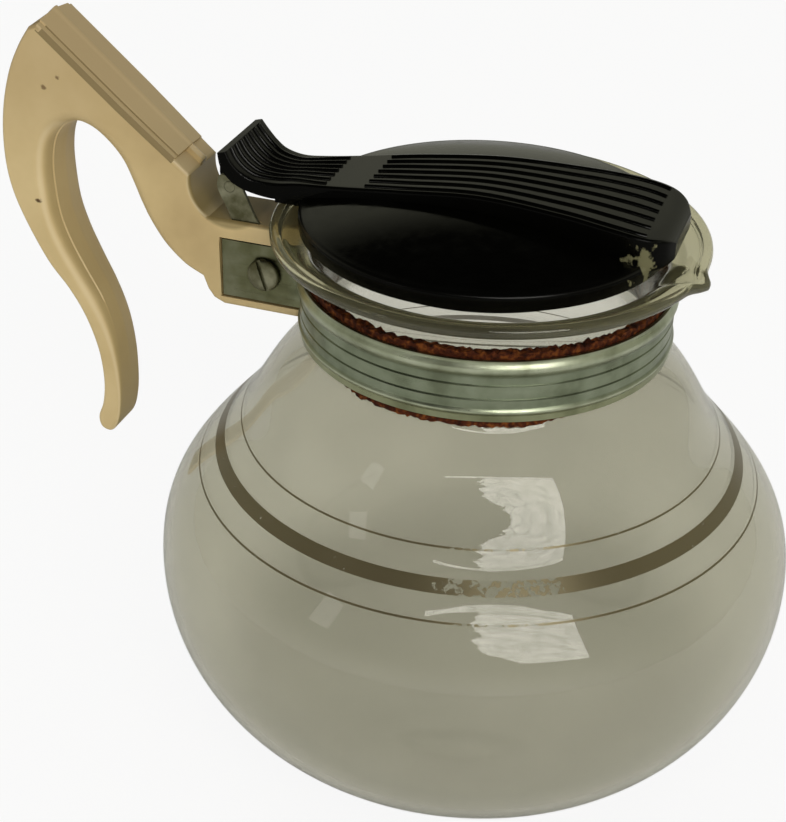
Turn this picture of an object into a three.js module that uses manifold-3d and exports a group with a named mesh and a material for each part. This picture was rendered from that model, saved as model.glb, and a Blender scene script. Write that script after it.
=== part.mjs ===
// The lower bowl of a vacuum coffee maker: a round glass bowl with a cork-lined metal collar, a hook
// handle clamped in the collar's ears, and a black lid that hinges on a steel strap.
// Millimetres, +Z up. The origin is the middle of the base. The handle points to -X, and the lid's
// hinge pin lies along Y.
import * as THREE from "three";
import { mergeVertices } from "three/addons/utils/BufferGeometryUtils.js";
import Module from "manifold-3d";

const wasm = await Module();
wasm.setup();

// General
const turns = 48; // facets round the bowl's axis
const footSteps = 8; // facets along the glass's outline, part by part
const flareSteps = 4;
const beadSteps = 6;
const roundSides = 24;
const pinSides = 16;
const nutSides = 6;
const arcSteps = 10;
const gripSteps = 56;
const seatGap = 0.3; // clearance between pieces that touch
const through = 1; // how far a cutting tool reaches past the face it cuts

// Glass bowl, from the base upwards
const baseRadius = 31.7;
const bellyRadius = 82.5;
const bellyHeight = 52; // where it is widest
const flankRise = 67.5; // from the widest place to the neck
const neckRadius = 42.4;
const neckLength = 11.5;
const mouthHeight = 10.6; // of the flare
const beadLift = 0.9; // from the flare to the middle of the rim's bead
const mouthSweep = 80; // degrees that the flare turns
const rimReach = 9.4; // from the neck's radius to the bead's
const rimBeadRadius = 1.5;
const rimBeadSweep = 120; // degrees, each way from outwards
const glassWall = 2;
// Stations of the flank, from the widest place to the neck: the share of its rise, and the share of
// the difference between the two radii that is left. The wall leans in most at 0.47 and again at 0.82.
const flank = [
  [0.0741, 0.9944], [0.1481, 0.974], [0.2222, 0.9328], [0.2963, 0.8657], [0.3556, 0.7943],
  [0.4148, 0.712], [0.4741, 0.6241], [0.5333, 0.5362], [0.5778, 0.4759], [0.6222, 0.425],
  [0.6667, 0.3796], [0.7111, 0.3354], [0.7556, 0.2875], [0.8, 0.2306], [0.8444, 0.1667],
  [0.8889, 0.1028], [0.9259, 0.0546], [0.9556, 0.0233], [0.9778, 0.0067], [1, 0],
];
const nubReach = 2.6; // the pouring nub, past the rim
const nubDrop = 0.8;
const nubDepth = 4; // how far below the rim the nub begins
const nubTurn = -9.5; // degrees: the bowl sits a little turned in its collar
const nubWidth = 4; // degrees

// Collar and its cork lining
const sheet = 0.8; // thickness of the band
const corkThick = 2.2;
const bandDrop = 3.1; // the band reaches this far below the neck
const bandRise = 1; // and this far above it
const beadInset = 2.6; // from the band's edge to the middle of its rolled bead
const beadHalf = 1.1;
const beadProud = 0.7;
const grooveDepth = 0.35;
const grooveHalf = 0.4;
const groovePitch = 3.9;
const corkBelow = 0.5; // cork that shows under the band
const corkAbove = 2.6;
const corkSlit = 0.8; // where the strip's two ends meet
const earLength = 21.3;
const earBite = 0.2; // the ear's root reaches this far into the band

// Clamp screw and nut, halfway up the band
const screwOut = 9.8; // from the band to the screw
const screwRadius = 2.1;
const screwHeadRadius = 4.3;
const screwHeadHeight = 1.5;
const slotWidth = 1.1;
const slotDepth = 0.8;
const slotTilt = 18; // degrees from upright
const nutFlats = 8.7;
const nutHeight = 3.2;
const screwPastNut = 1.2;

// Hinge, placed from the rim
const pivotOut = 13.5;
const pivotUp = 3.5;
const pinRadius = 1.2;
const pinEndRim = 0.5; // the pin's ends are this much larger
const pinEndHeight = 0.4;
const strapThick = 1;
const strapFoot = 3.5; // radius of the strap's foot round the screw
const tabReach = 3.4; // the strap's folded end runs this far in over the pin
const tabHalf = 2.3;
const tabRise = 2.9; // from the pin to the tab's top
const hubRadius = 3.3;
const hubFar = 5.8;
const hingeGap = 0.3;

// Handle
const handleThick = 17;
const gripThick = 18.8; // it swells towards the grip
const gripTipThick = 11.5;
const edgeRound = 1.8;
const tongueBelow = 2.8; // past the band's lower edge
const recessMargin = 0.5; // of the recess round the ear
const notchRadius = 10.4; // the hollow round the hinge
const notchLip = 10; // degrees above the pin where the hollow meets the sloping top
const notchFoot = 57; // degrees below the pin where it meets the tongue's top
const gripOut = 39; // the grip lies this far behind the screw
const thinFrom = 75; // and thins over this height above its tip
const ridgeHalf = 6.2; // the gable along the handle's sloping top
const ridgeSide = 1; // height of its sides
const ridgeCrest = 2.1;
const ridgeStart = 0.6; // from the top's rear corner
const ridgeLength = 45;
const ledgeHalf = 7.8; // the flat step on each side of the gable
const ledgeHeight = 0.4;
const spineHalf = 1.2; // the crest that runs on to the hollow
const spineSide = 1.4;

// Lid
const lidMargin = 6.6; // between the lid's edge and the rim's bead
const lidSetback = 1.2; // the lid sits this far back towards the handle
const lidLift = 1; // its edge is this far above the middle of the bead
const lidEdgeHeight = 4.3;
const lidEdgeRound = 1.4;
const lidCrown = 5.7; // rise of the dome over its edge
const lidWall = 2.6;
const ringMargin = 4; // between the locating ring and the neck's outside
const ringWall = 2.2;
const ringDepth = 3.7;
const stripRibs = 7;
const ribHeight = 0.55;
const ribMargin = 1.6; // smooth border beside the ribs
const plainSteps = 3; // steps without ribs at the nose
const lugHalf = 8;
const lugPastBead = 1;
const lugBite = 2; // how far the lug reaches in past the lid's edge
const lugRise = 0.8; // and up past the top of that edge

// Heights and radii that follow from those
const neckBottom = bellyHeight + flankRise;
const neckTop = neckBottom + neckLength;
const rimHeight = neckTop + mouthHeight + beadLift;
const rimRadius = neckRadius + rimReach;
const corkOuter = neckRadius + seatGap + corkThick;
const bandInner = corkOuter + seatGap;
const bandRadius = bandInner + sheet;
const bandBottom = neckBottom - bandDrop;
const bandTop = neckTop + bandRise;
const bandMiddle = (bandBottom + bandTop) / 2;
const earReach = bandRadius + earLength;
const earOuter = handleThick / 2 - seatGap;
const earInner = earOuter - sheet;
const strapOuter = earInner - seatGap;
const strapInner = strapOuter - strapThick;
const screwX = -bandRadius - screwOut;
const screwZ = bandMiddle;
const pivotX = -rimRadius - pivotOut;
const pivotZ = rimHeight + pivotUp;
const lidRadius = rimRadius - lidMargin;
const lidEdgeLow = rimHeight + lidLift;

const rad = THREE.MathUtils.degToRad;
const point = (x, y) => new THREE.Vector2(x, y);

// A geometry as a solid that can be joined and cut.
function solid(geometry) {
  const bare = new THREE.BufferGeometry();
  const source = geometry.index ? geometry.toNonIndexed() : geometry;
  bare.setAttribute("position", source.getAttribute("position"));
  const merged = mergeVertices(bare, 1e-4);
  return new wasm.Manifold(
    new wasm.Mesh({
      numProp: 3,
      vertProperties: new Float32Array(merged.attributes.position.array),
      triVerts: new Uint32Array(merged.index.array),
    }),
  );
}

// A joined or cut solid as a geometry again.
function geometryOf(made) {
  const mesh = made.getMesh();
  const stride = mesh.numProp;
  const corners = new Float32Array(mesh.numVert * 3);
  for (let i = 0; i < mesh.numVert; i++) {
    corners.set(mesh.vertProperties.subarray(i * stride, i * stride + 3), i * 3);
  }
  const geometry = new THREE.BufferGeometry();
  geometry.setAttribute("position", new THREE.BufferAttribute(corners, 3));
  geometry.setIndex(new THREE.BufferAttribute(new Uint32Array(mesh.triVerts), 1));
  geometry.computeVertexNormals();
  return geometry;
}

// A profile of (radius, height) points turned round the Z axis.
function turned(profile) {
  const geometry = new THREE.LatheGeometry(profile, turns);
  geometry.rotateX(Math.PI / 2);
  return geometry;
}

// A closed loop of (radius, height) points, anticlockwise in that plane, turned round the Z axis.
function turnedLoop(profile) {
  return turned([...profile, profile[0].clone()]);
}

// A box given by its two opposite corners.
function block(low, high) {
  const size = high.map((value, i) => value - low[i]);
  const middle = high.map((value, i) => (value + low[i]) / 2);
  return new THREE.BoxGeometry(...size).translate(...middle);
}

// A round bar along Y.
function barAlongY(radius, y0, y1, x, z, sides = roundSides) {
  const bar = new THREE.CylinderGeometry(radius, radius, y1 - y0, sides);
  return bar.translate(x, (y0 + y1) / 2, z);
}

// An outline in the XZ plane given as a THREE.Shape of (x, z), extruded from y0 to y1.
function slab(shape, y0, y1, options = {}) {
  const depth = y1 - y0;
  const geometry = new THREE.ExtrudeGeometry(shape, { depth, bevelEnabled: false, ...options });
  geometry.rotateX(Math.PI / 2);
  return geometry.translate(0, y1, 0);
}

// A solid lofted through equal-sized rings of points, closed with a flat fan at each end.
function loft(rings) {
  const count = rings[0].length;
  const corners = [];
  const triangle = (a, b, c) => corners.push(...a, ...b, ...c);
  for (let i = 0; i + 1 < rings.length; i++) {
    for (let j = 0; j < count; j++) {
      const k = (j + 1) % count;
      triangle(rings[i][j], rings[i][k], rings[i + 1][j]);
      triangle(rings[i][k], rings[i + 1][k], rings[i + 1][j]);
    }
  }
  const last = rings[rings.length - 1];
  const first = rings[0];
  const middle = (ring) => [0, 1, 2].map((axis) => ring.reduce((sum, p) => sum + p[axis], 0) / count);
  const start = middle(first);
  const end = middle(last);
  for (let j = 0; j < count; j++) {
    const k = (j + 1) % count;
    triangle(first[k], first[j], start);
    triangle(last[j], last[k], end);
  }
  const geometry = new THREE.BufferGeometry();
  geometry.setAttribute("position", new THREE.Float32BufferAttribute(corners, 3));
  return geometry;
}

// The glass: the outline of its outside from the base's middle to the flared mouth.
function glassOutside() {
  const outline = [point(0, 0)];
  const foot = new THREE.EllipseCurve(
    baseRadius, bellyHeight, bellyRadius - baseRadius, bellyHeight, -Math.PI / 2, 0,
  );
  outline.push(...foot.getPoints(footSteps));
  for (const [rise, left] of flank) {
    outline.push(point(neckRadius + left * (bellyRadius - neckRadius), bellyHeight + rise * flankRise));
  }
  for (let i = 0; i <= flareSteps; i++) {
    const angle = rad((mouthSweep * i) / flareSteps);
    outline.push(
      point(neckRadius + rimReach * (1 - Math.cos(angle)), neckTop + mouthHeight * Math.sin(angle)),
    );
  }
  return outline;
}

const glassOutline = glassOutside();

// The same outline moved inwards by the wall's thickness.
function inset(outline, wall) {
  return outline.map((p, i) => {
    const before = outline[Math.max(i - 1, 0)];
    const after = outline[Math.min(i + 1, outline.length - 1)];
    const along = after.clone().sub(before).normalize();
    return point(Math.max(p.x - along.y * wall, 0), p.y + along.x * wall);
  });
}

// The outside radius of the glass at a height.
function glassRadiusAt(height) {
  const next = glassOutline.findIndex((p, i) => i > 0 && p.y > height);
  const low = glassOutline[next - 1];
  const high = glassOutline[next];
  return THREE.MathUtils.mapLinear(height, low.y, high.y, low.x, high.x);
}

// The pouring nub: the rim drawn out and a little down at one place.
function drawNub(geometry) {
  const corners = geometry.attributes.position;
  for (let i = 0; i < corners.count; i++) {
    const x = corners.getX(i);
    const y = corners.getY(i);
    const z = corners.getZ(i);
    const turn = (THREE.MathUtils.radToDeg(Math.atan2(y, x)) - nubTurn) / nubWidth;
    const share = Math.exp(-turn * turn) * THREE.MathUtils.smoothstep(z, rimHeight - nubDepth, rimHeight);
    const radius = Math.hypot(x, y);
    const grow = radius > neckRadius / 2 ? (radius + nubReach * share) / radius : 1;
    corners.setXYZ(i, x * grow, y * grow, z - nubDrop * share);
  }
  return geometry;
}

function glassBowl() {
  const bead = new THREE.EllipseCurve(
    rimRadius, rimHeight, rimBeadRadius, rimBeadRadius, rad(-rimBeadSweep), rad(rimBeadSweep),
  );
  const inside = inset(glassOutline, glassWall).reverse();
  inside[inside.length - 1].x = 0;
  return drawNub(turned([...glassOutline, ...bead.getPoints(beadSteps), ...inside]));
}

// The collar: a band with rolled beads and fine grooves, and its two ears.
function bead(height) {
  const rounded = [-1, -0.5, 0, 0.5, 1];
  return rounded.map((s) => point(bandRadius + beadProud * (1 - s * s), height + s * beadHalf));
}

function groove(height) {
  return [
    point(bandRadius, height - grooveHalf),
    point(bandRadius - grooveDepth, height),
    point(bandRadius, height + grooveHalf),
  ];
}

function neckBand() {
  const ring = turnedLoop([
    point(bandRadius, bandBottom),
    ...bead(bandBottom + beadInset),
    ...groove(bandMiddle - groovePitch / 2),
    ...groove(bandMiddle + groovePitch / 2),
    ...bead(bandTop - beadInset),
    point(bandRadius, bandTop),
    point(bandInner, bandTop),
    point(bandInner, bandBottom),
  ]);
  const reach = bandRadius + beadProud + through;
  const gap = block([-reach, -earInner, bandBottom - through], [-bandRadius / 2, earInner, bandTop + through]);
  const earRoot = Math.sqrt(bandRadius ** 2 - earOuter ** 2) - earBite;
  const hole = barAlongY(screwRadius + seatGap, -handleThick, handleThick, screwX, screwZ);
  let band = solid(ring).subtract(solid(gap));
  for (const side of [-1, 1]) {
    const faces = [side * earInner, side * earOuter].sort((a, b) => a - b);
    const ear = block([-earReach, faces[0], bandBottom], [-earRoot, faces[1], bandTop]);
    band = band.add(solid(ear));
  }
  return geometryOf(band.subtract(solid(hole)));
}

// The cork strip between the glass and the band, its ends meeting in front of the tongue.
function corkLiner() {
  const low = bandBottom - corkBelow;
  const high = bandTop + corkAbove;
  const neck = glassOutline.filter((p) => p.y > low && p.y < high);
  const seat = [point(glassRadiusAt(low), low), ...neck, point(glassRadiusAt(high), high)];
  const inner = seat.map((p) => point(p.x + seatGap, p.y));
  const ring = turnedLoop([point(corkOuter, low), point(corkOuter, high), ...inner.reverse()]);
  const slit = block([-bandRadius, -corkSlit / 2, low - through], [0, corkSlit / 2, high + through]);
  return geometryOf(solid(ring).subtract(solid(slit)));
}

// The strap that carries the hinge. It is a plate between the near ear and the tongue, with an arm up
// to the pin and an end folded in over it. Its outline, from the pin, ends at the clamp screw.
const strapArm = [
  [17.8, -21.6], [17.8, -6.6], [8.4, -7.2], [7, -7], [6.1, -6], [3.4, 0], [2.6, 2.1], [1.8, 2.9],
  [-2.2, 2.9], [-3, 2.3], [-3.4, 0.2], [-3.3, -0.8], [-2.3, -3.1], [-1, -5.5],
];

// The strap's outline, grown by a margin.
function strapShape(margin = 0) {
  const foot = new THREE.EllipseCurve(screwX, screwZ, strapFoot, strapFoot, Math.PI, 1.5 * Math.PI, false);
  const outline = [
    ...strapArm.map(([x, z]) => point(pivotX + x, pivotZ + z)),
    ...foot.getPoints(arcSteps),
  ];
  const count = outline.length;
  return new THREE.Shape(
    outline.map((p, i) => {
      const along = outline[(i + 1) % count].clone().sub(outline[(i + count - 1) % count]).normalize();
      return point(p.x + along.y * margin, p.y - along.x * margin);
    }),
  );
}

function roundHole(x, z, radius) {
  const hole = new THREE.Path();
  hole.absarc(x, z, radius, 0, 2 * Math.PI, true);
  return hole;
}

function hingeStrap() {
  const shape = strapShape();
  shape.holes.push(roundHole(pivotX, pivotZ, pinRadius + hingeGap));
  shape.holes.push(roundHole(screwX, screwZ, screwRadius + seatGap));
  const plate = slab(shape, -strapOuter, -strapInner, { curveSegments: arcSteps });
  const top = pivotZ + tabRise;
  const tab = block(
    [pivotX - tabHalf, -strapOuter + strapThick / 2, top - strapThick],
    [pivotX + tabHalf, -strapOuter + tabReach, top],
  );
  return geometryOf(solid(plate).add(solid(tab)));
}

function hingePin() {
  const near = -strapOuter - hingeGap / 3;
  const far = hubFar + hingeGap;
  const bar = barAlongY(pinRadius, near - pinEndHeight, far + pinEndHeight, pivotX, pivotZ, pinSides);
  const wide = pinRadius + pinEndRim;
  const nearEnd = barAlongY(wide, near - pinEndHeight, near, pivotX, pivotZ, pinSides);
  const farEnd = barAlongY(wide, far, far + pinEndHeight, pivotX, pivotZ, pinSides);
  return geometryOf(solid(bar).add(solid(nearEnd)).add(solid(farEnd)));
}

// The clamp screw with its slotted head on the near side, and the nut on the far side.
const screwSeat = earOuter + seatGap;

function clampScrew() {
  const head = barAlongY(screwHeadRadius, -screwSeat - screwHeadHeight, -screwSeat, screwX, screwZ);
  const end = screwSeat + nutHeight + screwPastNut;
  const shank = barAlongY(screwRadius, -screwSeat - screwHeadHeight / 2, end, screwX, screwZ);
  const slot = new THREE.BoxGeometry(slotWidth, 2 * slotDepth, 3 * screwHeadRadius);
  slot.rotateY(-rad(slotTilt)).translate(screwX, -screwSeat - screwHeadHeight, screwZ);
  return geometryOf(solid(head).add(solid(shank)).subtract(solid(slot)));
}

function clampNut() {
  const corner = nutFlats / 2 / Math.cos(Math.PI / nutSides);
  const body = barAlongY(corner, screwSeat, screwSeat + nutHeight, screwX, screwZ, nutSides);
  const bore = barAlongY(screwRadius + seatGap, 0, screwSeat + nutHeight + through, screwX, screwZ);
  return geometryOf(solid(body).subtract(solid(bore)));
}

// The handle's outline: tongue, hollow round the hinge, sloping top, hook and finger arch. Its free
// stretches are placed from the clamp screw.
const tongueTop = pivotZ - notchRadius * Math.sin(rad(notchFoot));
const tongueBottom = bandBottom - tongueBelow;
const tongueFront = corkOuter + 2 * seatGap;
const fromScrew = ([x, z]) => point(screwX + x, screwZ + z);
const topFront = point(
  pivotX - notchRadius * Math.cos(rad(notchLip)),
  pivotZ + notchRadius * Math.sin(rad(notchLip)),
);
const topRear = fromScrew([-58.6, 56.6]);
const hookTip = [-48.4, -58.8];
const backOfGrip = [
  [-61.4, 56.2], [-64.6, 51.4], [-67.9, 44.6], [-70.5, 35.6], [-71.7, 25.6], [-71.2, 15.6],
  [-68.5, 5.9], [-62.5, -7.2], [-56.4, -15.4], [-52, -23.4], [-49.7, -32.9], [-49.4, -42.4],
  [-50.4, -49.9], [-52.1, -54.8], [-51.4, -58.2], hookTip, [-46.1, -55.4],
];
const insideOfGrip = [
  [-44.9, -49.4], [-44.4, -42.4], [-44.7, -34.4], [-46.1, -25.9], [-48.7, -17.6], [-52.4, -10],
  [-56, -2.4], [-58.6, 5.1], [-59.9, 13.6], [-59.8, 20.6], [-58.4, 26.8], [-55.2, 31],
  [-50.8, 32.6], [-46.4, 31.6], [-42.2, 28.5], [-38.6, 24.2], [-36.1, 18.6], [-33.9, 13],
  [-31.1, 8.2], [-27.2, 3.1], [-22.1, -1.2], [-17.2, -3.7],
];
const tongueHeel = [[-15.9, -7.1], [-14.3, -9.3]];
const heelFront = -11.4;
const toeIn = 1.6; // the tongue's toe is cut back from the glass
const toeRise = 3;

function handleShape() {
  const grip = new THREE.SplineCurve([...backOfGrip, ...insideOfGrip].map(fromScrew));
  const hollow = new THREE.EllipseCurve(
    pivotX, pivotZ, notchRadius, notchRadius, Math.PI + rad(notchFoot), Math.PI - rad(notchLip), true,
  );
  return new THREE.Shape([
    topRear,
    ...grip.getPoints(gripSteps),
    ...tongueHeel.map(fromScrew),
    point(screwX + heelFront, tongueBottom),
    point(-tongueFront - toeIn, tongueBottom),
    point(-tongueFront, tongueBottom + toeRise),
    point(-tongueFront, tongueTop),
    ...hollow.getPoints(arcSteps),
  ]);
}

// Swells the handle towards its grip, and thins the grip towards its tip, where the hook hangs free.
function shapeGrip(geometry) {
  const corners = geometry.attributes.position;
  const tip = fromScrew(hookTip).y;
  const gripFront = screwX - gripOut;
  for (let i = 0; i < corners.count; i++) {
    const x = corners.getX(i);
    const swell = THREE.MathUtils.smoothstep(-x, -topFront.x, -gripFront);
    const thick = THREE.MathUtils.lerp(handleThick, gripThick, swell);
    const thin = x < gripFront ? 1 - THREE.MathUtils.smoothstep(corners.getZ(i), tip, tip + thinFrom) : 0;
    corners.setY(i, corners.getY(i) * (THREE.MathUtils.lerp(thick, gripTipThick, thin) / handleThick));
  }
  return geometry;
}

// A raised strip along the handle's sloping top, with its side and crest heights.
function handleRidge(half, side, crest, length) {
  const along = topFront.clone().sub(topRear).normalize();
  const section = new THREE.Shape([
    point(-half, -edgeRound),
    point(half, -edgeRound),
    point(half, side),
    point(0, crest),
    point(-half, side),
  ]);
  const bar = new THREE.ExtrudeGeometry(section, { depth: length, bevelEnabled: false });
  const across = new THREE.Vector3(0, 1, 0);
  const down = new THREE.Vector3(along.x, 0, along.y);
  const placed = new THREE.Matrix4().makeBasis(across, down.clone().cross(across), down);
  return bar.translate(0, 0, ridgeStart).applyMatrix4(placed).translate(topRear.x, 0, topRear.y);
}

function handle() {
  const half = handleThick / 2;
  const body = slab(handleShape(), -half + edgeRound, half - edgeRound, {
    bevelEnabled: true,
    bevelThickness: edgeRound,
    bevelSize: edgeRound,
    bevelOffset: -edgeRound,
    bevelSegments: 2,
  });
  const spineLength = topFront.distanceTo(topRear) - ridgeStart;
  let made = solid(shapeGrip(body));
  made = made.add(solid(handleRidge(ledgeHalf, ledgeHeight, ledgeHeight, ridgeLength)));
  made = made.add(solid(handleRidge(ridgeHalf, ridgeSide, ridgeCrest, ridgeLength)));
  made = made.add(solid(handleRidge(spineHalf, spineSide, ridgeCrest, spineLength)));
  for (const side of [-1, 1]) {
    const faces = [side * strapOuter, side * (half + through)].sort((a, b) => a - b);
    const recess = block(
      [-earReach - recessMargin, faces[0], bandBottom - recessMargin],
      [-tongueFront + through, faces[1], bandTop + recessMargin],
    );
    made = made.subtract(solid(recess));
  }
  const slot = slab(strapShape(seatGap), -strapOuter - seatGap, -strapInner + seatGap);
  made = made.subtract(solid(slot));
  const hole = barAlongY(screwRadius + seatGap, -handleThick, handleThick, screwX, screwZ);
  return geometryOf(made.subtract(solid(hole)));
}

// The lid: a domed disc with its locating ring, the ribbed strip with the thumb lever, and the hub.
const lidEdgeTop = lidEdgeLow + lidEdgeHeight;
const domeRadius = lidRadius - lidEdgeRound;
const domeAt = (r) => lidEdgeTop + lidCrown * (1 - (r / domeRadius) ** 2);

function lidDisc() {
  const ringRadius = neckRadius - ringMargin;
  const ringInner = ringRadius - ringWall;
  const ringLow = lidEdgeLow - ringDepth;
  const edge = lidEdgeTop - lidEdgeRound;
  const corner = lidEdgeRound * Math.SQRT1_2;
  const shares = [0, 0.25, 0.5, 0.7, 0.85, 1];
  const underside = shares.map((s) => point(s * ringInner, domeAt(s * ringInner) - lidWall));
  const dome = shares.map((s) => point(s * domeRadius, domeAt(s * domeRadius))).reverse();
  const disc = turned([
    ...underside,
    point(ringInner, ringLow),
    point(ringRadius, ringLow),
    point(ringRadius, lidEdgeLow),
    point(lidRadius - lidEdgeRound / 2, lidEdgeLow),
    point(lidRadius, lidEdgeLow + lidEdgeRound / 2),
    point(lidRadius, edge),
    point(domeRadius + corner, edge + corner),
    ...dome,
  ]);
  return disc.translate(-lidSetback, 0, 0);
}

// Stations along the lever, from its tip: x and z of its top and then of its underside, from the
// pin, and its half width.
const lever = [
  [1.3, 11.2, -0.7, 10.6, 11.8],
  [2.9, 8.7, 0.4, 7, 12.3],
  [5.3, 6.3, 2.9, 4.2, 12.1],
  [8.3, 4.7, 6.7, 2.3, 11.4],
  [13.3, 4.2, 13, 1.4, 10.4],
];
// Stations along the strip on the lid: x as a share of the lid's radius, its height over the dome,
// its depth in the dome, and its half width.
const strip = [
  [-1.02, 3.4, 0.4, 10],
  [-0.8, 2.3, 1.2, 11],
  [-0.44, 2.1, 1.2, 12.6],
  [0, 3.3, 1.2, 13.4],
  [0.44, 4.3, 1.2, 15.3],
  [0.71, 5.3, 1.4, 16.6],
  [0.885, 5.8, 1.8, 16.2],
  [0.98, 5.7, 0.8, 13],
  [1.024, 4.4, -0.7, 9.2],
];

function stripStations() {
  const onLever = lever.map((s) => [pivotX + s[0], pivotZ + s[1], pivotX + s[2], pivotZ + s[3], s[4]]);
  const onLid = strip.map(([share, over, under, half]) => {
    const x = share * lidRadius;
    const dome = domeAt(Math.abs(x + lidSetback));
    return [x, dome + over, x, dome - under, half];
  });
  return [...onLever, ...onLid];
}

function lidStrip() {
  const stations = stripStations();
  const top = new THREE.CatmullRomCurve3(stations.map((s) => new THREE.Vector3(s[0], s[4], s[1])));
  const low = new THREE.CatmullRomCurve3(stations.map((s) => new THREE.Vector3(s[2], s[4], s[3])));
  const steps = 2 * (stations.length - 1);
  const rings = [];
  for (let i = 0; i <= steps; i++) {
    const a = top.getPoint(i / steps);
    const b = low.getPoint(i / steps);
    const up = a.clone().sub(b).setY(0).normalize();
    const half = a.y;
    const ribbed = half - ribMargin;
    const fade = i < 1 || i > steps - plainSteps ? 0 : 1;
    const ring = [[b.x, -half, b.z], [b.x, half, b.z], [a.x, half, a.z]];
    for (let k = 0; k <= 2 * stripRibs; k++) {
      const lift = k % 2 ? ribHeight * fade : 0;
      ring.push([a.x + up.x * lift, ribbed * (1 - k / stripRibs), a.z + up.z * lift]);
    }
    ring.push([a.x, -half, a.z]);
    rings.push(ring);
  }
  return loft(rings);
}

// The hub's web ends inside the lever, at these places from the pin.
const hubWeb = [[7.5, 3.5], [4.1, 5.2], [1.6, 7.9], [0.6, 9.4]];

function lidHub() {
  const near = -strapOuter + tabReach + hingeGap;
  const shape = new THREE.Shape();
  shape.moveTo(pivotX - hubRadius, pivotZ);
  shape.absarc(pivotX, pivotZ, hubRadius, Math.PI, 2 * Math.PI, false);
  for (const [x, z] of hubWeb) {
    shape.lineTo(pivotX + x, pivotZ + z);
  }
  shape.closePath();
  shape.holes.push(roundHole(pivotX, pivotZ, pinRadius + hingeGap));
  return slab(shape, near, hubFar, { curveSegments: arcSteps });
}

function lid() {
  const lugLow = rimHeight + rimBeadRadius + seatGap;
  const lug = block(
    [-rimRadius - lugPastBead, -lugHalf, lugLow],
    [-lidRadius + lugBite, lugHalf, lidEdgeTop + lugRise],
  );
  const made = solid(lidDisc()).add(solid(lidStrip())).add(solid(lug)).add(solid(lidHub()));
  return geometryOf(made);
}

const finish = (color, roughness, metalness, more = {}) =>
  new THREE.MeshStandardMaterial({ color, roughness, metalness, ...more });

const glass = finish(0xb8b6a4, 0.05, 0, { transparent: true, opacity: 0.35 });
const cork = finish(0x6b3a22, 0.95, 0);
const aluminium = finish(0xa3a59c, 0.4, 1);
const steel = finish(0x777664, 0.45, 1);
const cream = finish(0xb8a373, 0.55, 0);
const black = finish(0x0b0b0a, 0.15, 0);

const decanter = new THREE.Group();
function add(name, geometry, material) {
  const mesh = new THREE.Mesh(geometry, material);
  mesh.name = name;
  decanter.add(mesh);
}

add("glass_bowl", glassBowl(), glass);
add("cork_liner", corkLiner(), cork);
add("neck_band", neckBand(), aluminium);
add("handle", handle(), cream);
add("clamp_screw", clampScrew(), steel);
add("clamp_nut", clampNut(), steel);
add("hinge_strap", hingeStrap(), steel);
add("hinge_pin", hingePin(), steel);
add("lid", lid(), black);

export default decanter;
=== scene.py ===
from math import atan2, cos, degrees, exp, hypot, pi, radians, sin, sqrt

import bmesh
import bpy
from mathutils import Matrix, Vector, noise


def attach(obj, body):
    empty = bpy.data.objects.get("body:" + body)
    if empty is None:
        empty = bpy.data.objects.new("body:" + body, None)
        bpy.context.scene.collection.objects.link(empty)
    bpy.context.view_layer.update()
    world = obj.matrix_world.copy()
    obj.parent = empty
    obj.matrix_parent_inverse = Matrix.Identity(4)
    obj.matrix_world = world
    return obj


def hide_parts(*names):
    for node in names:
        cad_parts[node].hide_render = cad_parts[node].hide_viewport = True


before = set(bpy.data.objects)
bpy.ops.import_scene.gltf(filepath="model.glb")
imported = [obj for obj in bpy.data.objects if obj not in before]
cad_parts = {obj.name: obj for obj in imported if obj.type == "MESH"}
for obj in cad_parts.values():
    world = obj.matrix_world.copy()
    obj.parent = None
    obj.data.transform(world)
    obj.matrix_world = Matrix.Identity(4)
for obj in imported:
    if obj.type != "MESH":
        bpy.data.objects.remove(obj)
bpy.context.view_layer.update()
mm = 0.001

# Camera. It stands to the right of the bowl's front and well above the lid, and looks down on the
# lid and on the handle's sloping top. The image is 786 by 822.
eye = Vector((96.179, -358.944, 314.936)) * mm
to_right = Vector((0.94399, 0.32918, 0.02272))
to_up = Vector((-0.18864, 0.48192, 0.85567))
camera_data = bpy.data.cameras.new("camera")
camera_data.sensor_fit = "HORIZONTAL"
camera_data.sensor_width = 36
focal_pixels, image_width = 1685, 786
camera_data.lens = focal_pixels / image_width * camera_data.sensor_width
camera_data.clip_start = 0.01
camera = bpy.data.objects.new("camera", camera_data)
axes = Matrix((to_right, to_up, to_right.cross(to_up))).transposed()
camera.matrix_world = Matrix.Translation(eye) @ axes.to_4x4()
bpy.context.scene.collection.objects.link(camera)
bpy.context.scene.camera = camera
bpy.context.scene.view_settings.view_transform = "Standard"


# Table and room. A plain white table in a pale room that is dark overhead, so that the black lid
# stays black. The table shows as white to the eye and through the glass, and keeps the bowl's shadow.
def linear(sheet_hex):
    """An sRGB hex colour as the linear colour that a socket takes."""
    channels = [int(sheet_hex[i:i + 2], 16) / 255 for i in (0, 2, 4)]
    return [c / 12.92 if c <= 0.04045 else ((c + 0.055) / 1.055) ** 2.4 for c in channels] + [1]


def wire(tree, kind, inputs=None, **settings):
    """Adds a node with its settings; a shader node's kind is given without its prefix. An input is given
    a value, an output, or a node for its first output. Map Range takes its two limits as inputs 1 and 2,
    and what they become as 3 and 4."""
    made = tree.nodes.new(kind if "Node" in kind else "ShaderNode" + kind)
    for name, value in settings.items():
        setattr(made, name, value)
    for name, value in (inputs or {}).items():
        if isinstance(value, bpy.types.Node):
            value = value.outputs[0]
        if isinstance(value, bpy.types.NodeSocket):
            tree.links.new(value, made.inputs[name])
        else:
            made.inputs[name].default_value = value
    return made


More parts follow.
